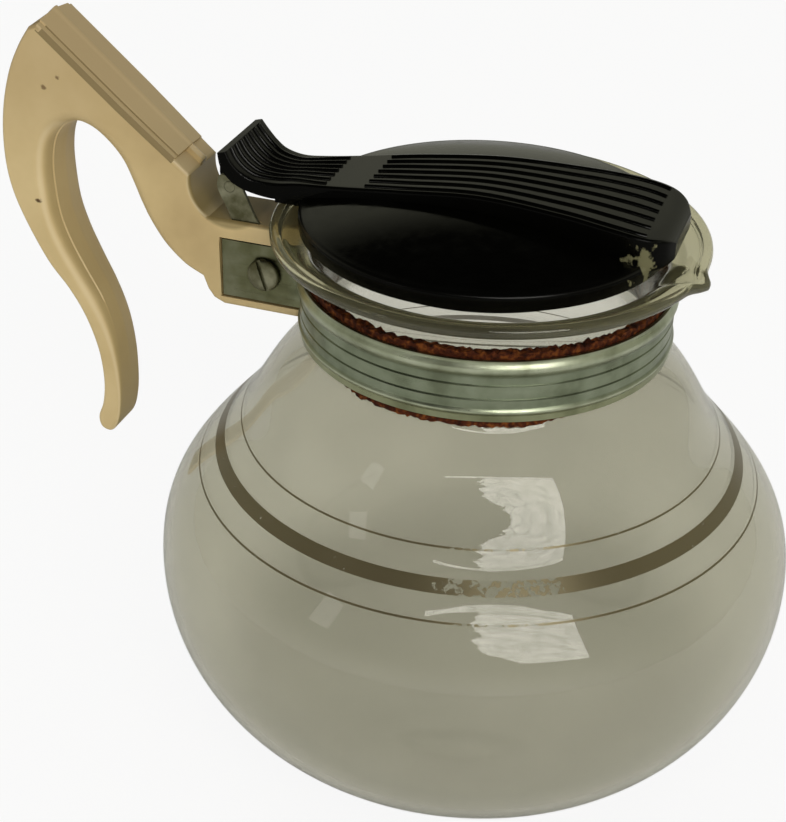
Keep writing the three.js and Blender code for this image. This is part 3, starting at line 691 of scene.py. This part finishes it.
def cut(piece, tools, how="DIFFERENCE"):
    """Cuts tools from a piece, or joins them to it, and takes the tools away."""
    for tool in tools:
        step = piece.modifiers.new("cut", "BOOLEAN")
        step.operation = how
        step.solver = "EXACT"
        step.object = tool
        bpy.context.view_layer.update()
        settle(piece)
        bpy.data.objects.remove(tool)


def even_light(piece):
    """Lets the large faces lead the shading at the rounded edges."""
    step = piece.modifiers.new("edge light", "WEIGHTED_NORMAL")
    step.keep_sharp = True
    settle(piece)


def strap_flat(grow=0.0):
    """The hinge strap's outline: the foot at the clamp screw, and the arm up to the pin."""
    arm = [(17.8, -21.6), (17.8, -9.2), (9, -9.2), (7.8, -9), (6.9, -7.6), (6.1, -6), (3.4, 0), (2.6, 2.1),
           (1.8, 2.9), (-2.2, 2.9), (-3, 2.3), (-3.4, 0.2), (-3.3, -0.8), (-2.3, -3.1), (-1, -5.5)]
    foot_radius = 3.5
    line = [Vector((pivot_x + x, pivot_z + z)) for x, z in arm]
    for i in range(11):
        a = radians(180 + 9 * i)
        line.append(Vector((screw_x + foot_radius * cos(a), screw_z + foot_radius * sin(a))))
    grown = []
    for i, p in enumerate(line):
        along = (line[(i + 1) % len(line)] - line[i - 1]).normalized()
        grown.append((p.x + along.y * grow, p.y - along.x * grow))
    return grown


def disc_flat(cx, cz, radius):
    """A round outline of x and z."""
    sides = 40
    turns = [2 * pi * i / sides for i in range(sides)]
    return [(cx + radius * cos(a), cz + radius * sin(a)) for a in turns]


mend(handle)
strap_out, strap_in, screw_hole, pin_hole = -7.1, -6.1, 2.4, 1.5
recess_in, recess_past, strap_gap = 7.1, 9.6, 0.3
tools = []
recess_flat = [(-67.8, 115.9), (-44, 115.9), (-44, 132.5), (-67.8, 132.5)]
for side in (-1, 1):
    near, far = sorted((side * recess_in, side * recess_past))
    tools.append(prism("recess", recess_flat, near, far))
tools.append(prism("strap_slot", strap_flat(strap_gap), strap_out - strap_gap, strap_in + strap_gap))
tools.append(prism("screw_hole", disc_flat(screw_x, screw_z, screw_hole), -12, 12))
cut(handle, tools)

# Cast phenolic, buffed and then yellowed by age: a satin skin in clouds about 60 mm across, browner on its
# upward faces and its upper part by painted shade, darker in the hinge's hollow by painted shade with some
# grime, paler along the hook's inner edge by a painted highlight, and with a few small pits. Its ripple is
# really far below 1 mm, and is drawn 1.4 mm wide so that it shows.
cream_phenolic, tree = bare_material("cast_phenolic_cream_aged")
place = wire(tree, "TexCoord").outputs["Object"]
cloud = wire(tree, "TexNoise", {"Vector": place, "Scale": 16.0, "Detail": 5.0, "Roughness": 0.6})
tone = stops(wire(tree, "ValToRGB", {0: cloud}), (0.3, "BFA473"), (0.5, "DAC08B"), (0.72, "ECD4A2"))
near_pit, near_side = None, -8.9
for x, z in ((-109.8, 168.8), (-114, 165.6), (-118.5, 134.1), (-106.7, 107.2), (-81, 158), (-96.6, 169.3)):
    pit = (x * mm, near_side * mm, z * mm)
    gap = wire(tree, "VectorMath", {0: place, 1: pit}, operation="DISTANCE").outputs["Value"]
    if near_pit:
        gap = wire(tree, "Math", {0: near_pit, 1: gap}, operation="MINIMUM").outputs[0]
    near_pit = gap
speck = wire(tree, "TexNoise", {"Vector": place, "Scale": 900.0, "Detail": 3.0})
blurred = wire(tree, "Math", {0: speck, 1: 0.0016, 2: near_pit}, operation="MULTIPLY_ADD")
widened = wire(tree, "Math", {0: blurred, 1: 100.0}, operation="MULTIPLY")
dirt = stops(wire(tree, "ValToRGB", {0: widened}), (0.13, "6A5230"), (0.17, "FFFFFF"))
specked = wire(tree, "MixRGB", {0: 1.0, 1: tone, 2: dirt}, blend_type="MULTIPLY")
facing = wire(tree, "NewGeometry")
upward = wire(tree, "SeparateXYZ", {0: facing.outputs["Normal"]})
# Painted shade: faces that turn upwards are browner.
painted_top_shade = wire(tree, "MapRange", {
    0: upward.outputs[2], 1: 0.15, 2: 0.75, 3: 0.0, 4: 0.85}, interpolation_type="SMOOTHSTEP")
shaded_on_top = wire(tree, "MixRGB", {0: painted_top_shade, 1: specked, 2: linear("937E53")})
inward = wire(tree, "MapRange", {
    0: upward, 1: 0.62, 2: 0.95, 3: 0.0, 4: 0.6}, interpolation_type="SMOOTHSTEP")
# A painted highlight makes the rounded edge round the hook's inside paler than the faces beside it.
off_ridge = wire(tree, "Math", {0: upward, 1: 0.5}, operation="SUBTRACT")
from_ridge = wire(tree, "Math", {0: off_ridge}, operation="ABSOLUTE")
ridge = wire(tree, "MapRange", {0: from_ridge, 1: 0.04, 2: 0.24, 3: 0.55, 4: 0.0})
gripped = wire(tree, "MixRGB", {0: inward, 1: shaded_on_top, 2: linear("A5905F")})
place_of = wire(tree, "SeparateXYZ", {0: place})
# Painted shade: the handle's upper part, above about 135 mm, is browner.
arch = wire(tree, "MapRange", {
    0: place_of.outputs[2], 1: 0.135, 2: 0.175, 3: 0.0, 4: 0.45}, interpolation_type="SMOOTHSTEP")
with_painted_ridge_highlight = wire(tree, "MixRGB", {0: ridge, 1: gripped, 2: linear("F2DDB2")})
with_painted_high_shade = wire(tree, "MixRGB", {0: arch, 1: with_painted_ridge_highlight, 2: linear("B0956A")})
# Painted shade under the lever, with some grime: the hinge's hollow is browner, by an amount that the cloud
# varies.
side_on = wire(tree, "Mapping", {"Vector": place, "Scale": (1, 0, 1)})
from_pin = wire(tree, "VectorMath", {0: side_on, 1: (pivot_x * mm, 0, pivot_z * mm)}, operation="DISTANCE")
hollow = wire(tree, "MapRange", {0: from_pin.outputs["Value"], 1: 0.0112, 2: 0.0103, 3: 0.0, 4: 1.0})
grime_and_shade_share = wire(tree, "MapRange", {0: cloud, 1: 0.3, 2: 0.65, 3: 0.8, 4: 0.4})
stain_and_shade = wire(tree, "Math", {0: hollow, 1: grime_and_shade_share}, operation="MULTIPLY")
colour = wire(tree, "MixRGB", {0: stain_and_shade, 1: with_painted_high_shade, 2: linear("6E6032")})
fine = wire(tree, "TexNoise", {"Vector": place, "Scale": 700.0, "Detail": 4.0})
relief = wire(tree, "Bump", {"Height": fine, "Strength": 0.08, "Distance": 0.0003})
gloss = wire(tree, "MapRange", {0: cloud, 1: 0.3, 2: 0.7, 3: 0.4, 4: 0.54})
skin = wire(tree, "BsdfPrincipled", {
    "Base Color": colour, "Roughness": gloss, "IOR": 1.5, "Normal": relief})
wire(tree, "OutputMaterial", {"Surface": skin})
# Dirt packed into the narrow steps beside the ridge: matt and brown, it draws them as thin lines.
step_dirt, tree = bare_material("cast_phenolic_cream_dirt_in_the_steps")
skin = wire(tree, "BsdfPrincipled", {"Base Color": linear("8C7850"), "Roughness": 0.7})
wire(tree, "OutputMaterial", {"Surface": skin})
coat(handle, cream_phenolic, step_dirt)
tidy(handle, 32)
for face in handle.data.polygons:
    from_rear = Vector((face.center.x, face.center.z)) / mm - top_rear
    above = from_rear.cross(slope_dir)
    along = from_rear.dot(slope_dir)
    is_riser = abs(face.normal.y) > 0.6 and abs(face.center.y) > 5.5 * mm
    face.material_index = 1 if is_riser and 0.05 < abs(above) < 1.2 and 0.5 < along < 45.8 else 0
even_light(handle)
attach(handle, "decanter")
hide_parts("handle")


# Clamp screw and nut. A slotted steel screw through both ears and the tongue, drawn up by a hexagon
# nut on the far side. Turned steel, gone dull and brown.
def lay_along_y(piece, x, z):
    """Lays a piece that was turned round Z along Y, and moves it to a place of x and z."""
    piece.data.transform(Matrix.Translation(Vector((x, 0, z)) * mm) @ Matrix.Rotation(pi / 2, 4, "X"))


# Turned steel, plated once and tarnished: grey brown, half dull, with stains of about 4 mm.
dull_steel, tree = bare_material("turned_steel_tarnished")
place = wire(tree, "TexCoord").outputs["Object"]
stain_and_shade = wire(tree, "TexNoise", {"Vector": place, "Scale": 240.0, "Detail": 6.0})
tone = stops(wire(tree, "ValToRGB", {0: stain_and_shade}), (0.35, "5C5A42"), (0.52, "787660"), (0.7, "94927C"))
rough = wire(tree, "MapRange", {0: stain_and_shade, 1: 0.3, 2: 0.7, 3: 0.5, 4: 0.3})
relief = wire(tree, "Bump", {"Height": stain_and_shade, "Strength": 0.2, "Distance": 0.0002})
skin = wire(tree, "BsdfPrincipled", {
    "Base Color": tone, "Metallic": 1.0, "Roughness": rough, "Normal": relief})
wire(tree, "OutputMaterial", {"Surface": skin})

shank, shank_end = 2.1, -12.9
bar = [(0, 10.0), (2.4, 9.95), (3.6, 9.75), (4.1, 9.45), (4.3, 9.1), (4.3, 8.7), (4.15, 8.5), (shank, 8.5),
       (shank, shank_end + 0.5), (shank - 0.4, shank_end), (0, shank_end)]
screw = lathe("slotted_clamp_screw", bar, 64)[0]
lay_along_y(screw, screw_x, screw_z)
mend(screw)
lean, slot_half = radians(18), 0.55
slot_flat = []
for x, z in ((-slot_half, -6), (slot_half, -6), (slot_half, 6), (-slot_half, 6)):
    slot_flat.append((screw_x + x * cos(lean) - z * sin(lean), screw_z + x * sin(lean) + z * cos(lean)))
cut(screw, [prism("slot", slot_flat, -12, -9.2)])
coat(screw, dull_steel)
tidy(screw, 30)
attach(screw, "decanter")
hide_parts("clamp_screw")


def soften(piece, width):
    """Rounds a piece's edges by a width in millimetres."""
    step = piece.modifiers.new("rounded edges", "BEVEL")
    step.width = width * mm
    step.segments = 2
    step.angle_limit = radians(40)
    settle(piece)
    tidy(piece, 40)


across_flats, nut_bore = 8.7, 2.35
corner = across_flats / 2 / cos(pi / 6)
nut_flat = [(screw_x + corner * cos(pi * i / 3), screw_z + corner * sin(pi * i / 3)) for i in range(6)]
nut = prism("hexagon_nut", nut_flat, 8.5, 11.7)
cut(nut, [prism("bore", disc_flat(screw_x, screw_z, nut_bore), 7, 13)])
coat(nut, dull_steel)
soften(nut, 0.35)
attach(nut, "decanter")
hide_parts("clamp_nut")


# Hinge. One flat steel strap, stamped from sheet, is held under the near ear by the clamp screw. Its
# arm carries the thin pin, and its top is folded in over the hub.
strap = prism("folded_hinge_strap", strap_flat(), strap_out, strap_in)
fold = [((strap_out, 146.4), (strap_in, 146.4))]
for t in range(0, 91, 15):
    a = radians(t)
    outer = (strap_in - cos(a), 147.9 + sin(a))
    fold.append((outer, (strap_in - 0.05 * cos(a), 147.85 + 0.05 * sin(a))))
fold.append(((-3.7, 148.9), (-3.7, 147.9)))
points = []
for outer, under in fold:
    narrow = 0.85 * max(0, outer[0] - strap_in) / 2.4
    left, right = pivot_x - 2.2 + narrow, pivot_x + 1.8 - narrow
    for x, (y, z) in ((left, outer), (right, outer), (right, under), (left, under)):
        points.append((x * mm, y * mm, z * mm))
faces = walls_between(len(fold), 4) + [(0, 1, 2, 3), tuple(4 * len(fold) - 1 - j for j in range(4))]
tab = put_in("tab", points, faces)
mend(tab)
cut(strap, [tab], "UNION")
cut(strap, [prism("pin_hole", disc_flat(pivot_x, pivot_z, pin_hole), -9, -3),
            prism("screw_hole", disc_flat(screw_x, screw_z, screw_hole), -9, -3)])
coat(strap, dull_steel)
soften(strap, 0.16)
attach(strap, "decanter")
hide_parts("hinge_strap")

# The pin is riveted flush with the strap, and has a low head on its far end.
bar = [(0, 7.16), (1.35, 7.16), (1.46, 7.08), (1.46, 6.3), (1.2, 6.3), (1.2, -6.1), (1.7, -6.1), (1.7, -6.3),
       (1.55, -6.45), (1.1, -6.5), (0, -6.5)]
pin = lathe("riveted_hinge_pin", bar, 32)[0]
lay_along_y(pin, pivot_x, pivot_z)
coat(pin, dull_steel)
tidy(pin, 30)
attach(pin, "decanter")
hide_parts("hinge_pin")


# Lid. Black phenolic, moulded glossy: a domed disc with a ring underneath that finds the mouth, a
# raised strip across it that ends in a thumb lever, and a hub for the pin.
lid_radius, lid_low, lid_top, lid_shift = 45.2, 143.5, 147.8, -1.2
lid_edge, lid_wall = 1.4, 2.6
dome_radius, crown = 43.8, 5.7


def dome(r):
    """The height of the lid's top at a radius."""
    return lid_top + crown * (1 - (r / dome_radius) ** 2)


inner, ring_out, ring_low = 36.2, 38.4, 139.8
lid_rows = [(0, dome(0))] + [(dome_radius * i / 30, dome(dome_radius * i / 30)) for i in range(1, 30)]
for t in range(90, -1, -15):
    a = radians(t)
    lid_rows.append((lid_radius - lid_edge + lid_edge * cos(a), lid_top - lid_edge + lid_edge * sin(a)))
lid_rows += [(lid_radius, 145.2), (lid_radius, 144.1), (lid_radius - 0.25, 143.65),
             (lid_radius - 0.7, lid_low), (ring_out + 0.3, lid_low), (ring_out, lid_low - 0.3),
             (ring_out, ring_low + 0.4), (ring_out - 0.3, ring_low), (inner + 0.3, ring_low),
             (inner, ring_low + 0.4)]
lid_rows += [(inner * (1 - i / 12), dome(inner * (1 - i / 12)) - lid_wall) for i in range(13)]
disc = lathe("lid_disc", lid_rows, 180)[0]
disc.data.transform(Matrix.Translation(Vector((lid_shift, 0, 0)) * mm))
mend(disc)

# Stations of the strip. On the lever: x and z of its top and of its underside from the pin, and half its
# width. On the dome: the share of the lid's radius, how far over and under the dome, and half its width.
lever = [(1.3, 11.2, -0.9, 10.6, 11.8), (2.9, 8.7, 0.2, 7, 12.3), (5.3, 6.3, 2.9, 3.7, 12.1),
         (8.3, 4.7, 6.8, 1.6, 11.4), (13.3, 4.2, 13, 0.3, 10.4)]
on_dome = [(-1.02, 3.4, 0.4, 10), (-0.8, 2.3, 1.2, 11), (-0.44, 2.1, 1.2, 12.6), (0, 3.3, 1.2, 13.4),
           (0.44, 4.3, 1.2, 15.3), (0.71, 5.3, 1.4, 16.6), (0.885, 5.8, 1.8, 16.2), (0.98, 5.7, 0.8, 13),
           (1.024, 4.4, -0.7, 9.2)]
stations = [(pivot_x + a, pivot_z + b, pivot_x + c, pivot_z + d, h) for a, b, c, d, h in lever]
for part_way, over, under, half in on_dome:
    x = part_way * lid_radius
    stations.append((x, dome(abs(x - lid_shift)) + over, x, dome(abs(x - lid_shift)) - under, half))
spine = smooth_line(stations, 8)
strip_rings = []
for s in spine:
    top, low, half = Vector((s[0], s[1])), Vector((s[2], s[3])), s[4]
    up = (top - low).normalized()
    round_off = 0.8 * min(1.0, (top - low).length / 2.2)
    ring = [(low, -half), (low, half)]
    side = []
    for t in range(0, 91, 18):
        a = radians(t)
        side.append((top - up * (round_off * (1 - sin(a))), half - round_off * (1 - cos(a))))
    flat = [(top, (half - round_off) * (1 - i / 12)) for i in range(1, 24)]
    ring += side + flat + [(p, -y) for p, y in reversed(side)]
    strip_rings.append([Vector((p.x, y, p.y)) * mm for p, y in ring])
count = len(strip_rings[0])
points = [p for ring in strip_rings for p in ring]
faces = walls_between(len(strip_rings), count)
faces += [list(range(count)), [(len(strip_rings) - 1) * count + j for j in range(count)]]
strip_piece = put_in("strip", points, faces)
mend(strip_piece)
lug = prism("lug", [(-52.8, 144.3), (-43.2, 144.3), (-43.2, 148.6), (-52.8, 148.6)], -8, 8)
hub_radius, hub_near, hub_far = 3.3, -3.4, 5.8
hub_flat = []
for t in range(200, 361, 10):
    a = radians(t)
    hub_flat.append((pivot_x + hub_radius * cos(a), pivot_z + hub_radius * sin(a)))
web = [(8.5, 2.1), (4.1, 4.6), (1.6, 7.9), (0.6, 9.4), (-1, 9.6),
       (-3.1, 7.6), (-4.1, 4.6), (-4.2, 1.8), (-3.8, 0)]
for x, z in web:
    hub_flat.append((pivot_x + x, pivot_z + z))
hub = prism("hub", hub_flat, hub_near, hub_far)
cut(hub, [prism("pin_bore", disc_flat(pivot_x, pivot_z, pin_hole), -9, 9)])
cut(disc, [strip_piece, lug, hub], "UNION")
lid = disc
lid.name = "domed_lid"

# Black phenolic, moulded against a polished die: it has hardly a colour of its own, and shows the room
# in it. Dust dulls it in specks of about 3 mm, drawn coarser than real. The disc's edge is worn duller,
# and a knock beside the nose has flaked it to a chalky patch.
black_phenolic, tree = bare_material("phenolic_black_moulded_glossy")
place = wire(tree, "TexCoord").outputs["Object"]
dust = wire(tree, "TexNoise", {"Vector": place, "Scale": 300.0, "Detail": 6.0})
gloss = wire(tree, "MapRange", {0: dust, 1: 0.4, 2: 0.7, 3: 0.1, 4: 0.2})
flat = wire(tree, "Mapping", {"Vector": place, "Scale": (1, 1, 0)})
from_axis = wire(tree, "VectorMath", {0: flat, 1: (lid_shift * mm, 0, 0)}, operation="DISTANCE")
on_edge = wire(tree, "MapRange", {0: from_axis.outputs["Value"], 1: 0.0425, 2: 0.0444, 3: 0.0, 4: 1.0})
rough = wire(tree, "MixRGB", {0: on_edge, 1: gloss, 2: (0.26, 0.26, 0.26, 1)})
knock = wire(tree, "VectorMath", {0: place, 1: (0.0385, -0.0145, 0.1475)}, operation="DISTANCE")
near_nose = wire(tree, "MapRange", {0: knock.outputs["Value"], 1: 0.003, 2: 0.011, 3: 0.16, 4: -0.3})
flaked = wire(tree, "Math", {0: dust, 1: near_nose}, operation="ADD")
chalk = wire(tree, "MapRange", {0: flaked, 1: 0.6, 2: 0.66, 3: 0.0, 4: 0.8})
colour = wire(tree, "MixRGB", {0: chalk, 1: linear("030302"), 2: linear("7E7B5C")})
skin = wire(tree, "BsdfPrincipled", {
    "Base Color": colour, "Roughness": rough, "IOR": 1.5, "Specular IOR Level": 0.25})
wire(tree, "OutputMaterial", {"Surface": skin})
# The steep sides of disc, strip and lever are black moulding too, as the mould left them, unpolished.
# They give back less of the pale table than the polished top does.
black_sides = black_phenolic.copy()
black_sides.name = "phenolic_black_moulded_unpolished_sides"
for node in black_sides.node_tree.nodes:
    if node.type == "BSDF_PRINCIPLED":
        node.inputs["Specular IOR Level"].default_value = 0.06
coat(lid, black_phenolic, black_sides)
tidy(lid, 32)
even_light(lid)
tip_low = 155.0
for face in lid.data.polygons:
    at_tip = face.center.z > tip_low * mm and face.normal.x < -0.15
    face.material_index = 1 if at_tip or face.normal.z < 0.5 else 0
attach(lid, "lid")
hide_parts("lid")


# Ribs. Seven fine ribs, moulded with the strip, that run its whole length and stop at a bare panel
# behind the lever and at the smooth border of the nose. On the lever the outer ones draw in a little.
draw_in = 1.3
guide_points, guide_edges, halves = [], [], []
for low_x, high_x in ((-70, -38.0), (-29.6, 40.4)):
    run = [s for s in spine if low_x < s[0] < high_x]
    start = len(guide_points)
    guide_points += [(s[0] * mm, 0, s[1] * mm) for s in run]
    guide_edges += [(start + i, start + i + 1) for i in range(len(run) - 1)]
    halves += [s[4] - draw_in * level(-s[0], 40, 52) for s in run]
ribs = put_in("strip_ribs", guide_points, [], guide_edges)
half_width = ribs.data.attributes.new("half_width", "FLOAT", "POINT")
half_width.data.foreach_set("value", [h * mm for h in halves])

rib_tree = bpy.data.node_groups.new("ribs_along_strip", "GeometryNodeTree")
rib_tree.interface.new_socket("Geometry", in_out="INPUT", socket_type="NodeSocketGeometry")
sizes = {}
for label, kind, value in (("Rib count", "NodeSocketInt", 7), ("Border", "NodeSocketFloat", 0.0022),
                           ("Rib radius", "NodeSocketFloat", 0.0008), ("Sunk", "NodeSocketFloat", 0.0003)):
    socket = rib_tree.interface.new_socket(label, in_out="INPUT", socket_type=kind)
    sizes[label] = (socket.identifier, value)
rib_tree.interface.new_socket("Geometry", in_out="OUTPUT", socket_type="NodeSocketGeometry")
given = wire(rib_tree, "NodeGroupInput").outputs
lines = wire(rib_tree, "GeometryNodeMeshToCurve", {"Mesh": given["Geometry"]})
copies = wire(rib_tree, "GeometryNodeDuplicateElements", {
    "Geometry": lines, "Amount": given["Rib count"]}, domain="SPLINE")
half = wire(rib_tree, "GeometryNodeInputNamedAttribute", {"Name": "half_width"}, data_type="FLOAT")
inside = wire(rib_tree, "Math", {0: half, 1: given["Border"]}, operation="SUBTRACT")
steps = wire(rib_tree, "Math", {0: given["Rib count"], 1: 1.0}, operation="SUBTRACT")
place = wire(rib_tree, "Math", {0: copies.outputs[1], 1: steps}, operation="DIVIDE")
centred = wire(rib_tree, "Math", {0: place, 1: 2.0, 2: -1.0}, operation="MULTIPLY_ADD")
across = wire(rib_tree, "Math", {0: centred, 1: inside}, operation="MULTIPLY")
down = wire(rib_tree, "Math", {0: given["Sunk"], 1: -1.0}, operation="MULTIPLY")
shift = wire(rib_tree, "CombineXYZ", {1: across, 2: down})
moved = wire(rib_tree, "GeometryNodeSetPosition", {"Geometry": copies, "Offset": shift})
outline_of = wire(rib_tree, "GeometryNodeCurvePrimitiveCircle", {
    "Resolution": 12, "Radius": given["Rib radius"]})
solid = wire(rib_tree, "GeometryNodeCurveToMesh", {
    "Curve": moved, "Profile Curve": outline_of, "Fill Caps": True})
rounded = wire(rib_tree, "GeometryNodeSetShadeSmooth", {"Geometry": solid})
black = wire(rib_tree, "GeometryNodeSetMaterial", {"Geometry": rounded, "Material": black_phenolic})
real = wire(rib_tree, "GeometryNodeRealizeInstances", {"Geometry": black})
wire(rib_tree, "NodeGroupOutput", {"Geometry": real})
step = ribs.modifiers.new("ribs", "NODES")
step.node_group = rib_tree
for identifier, value in sizes.values():
    step[identifier] = value
settle(ribs)
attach(ribs, "lid")
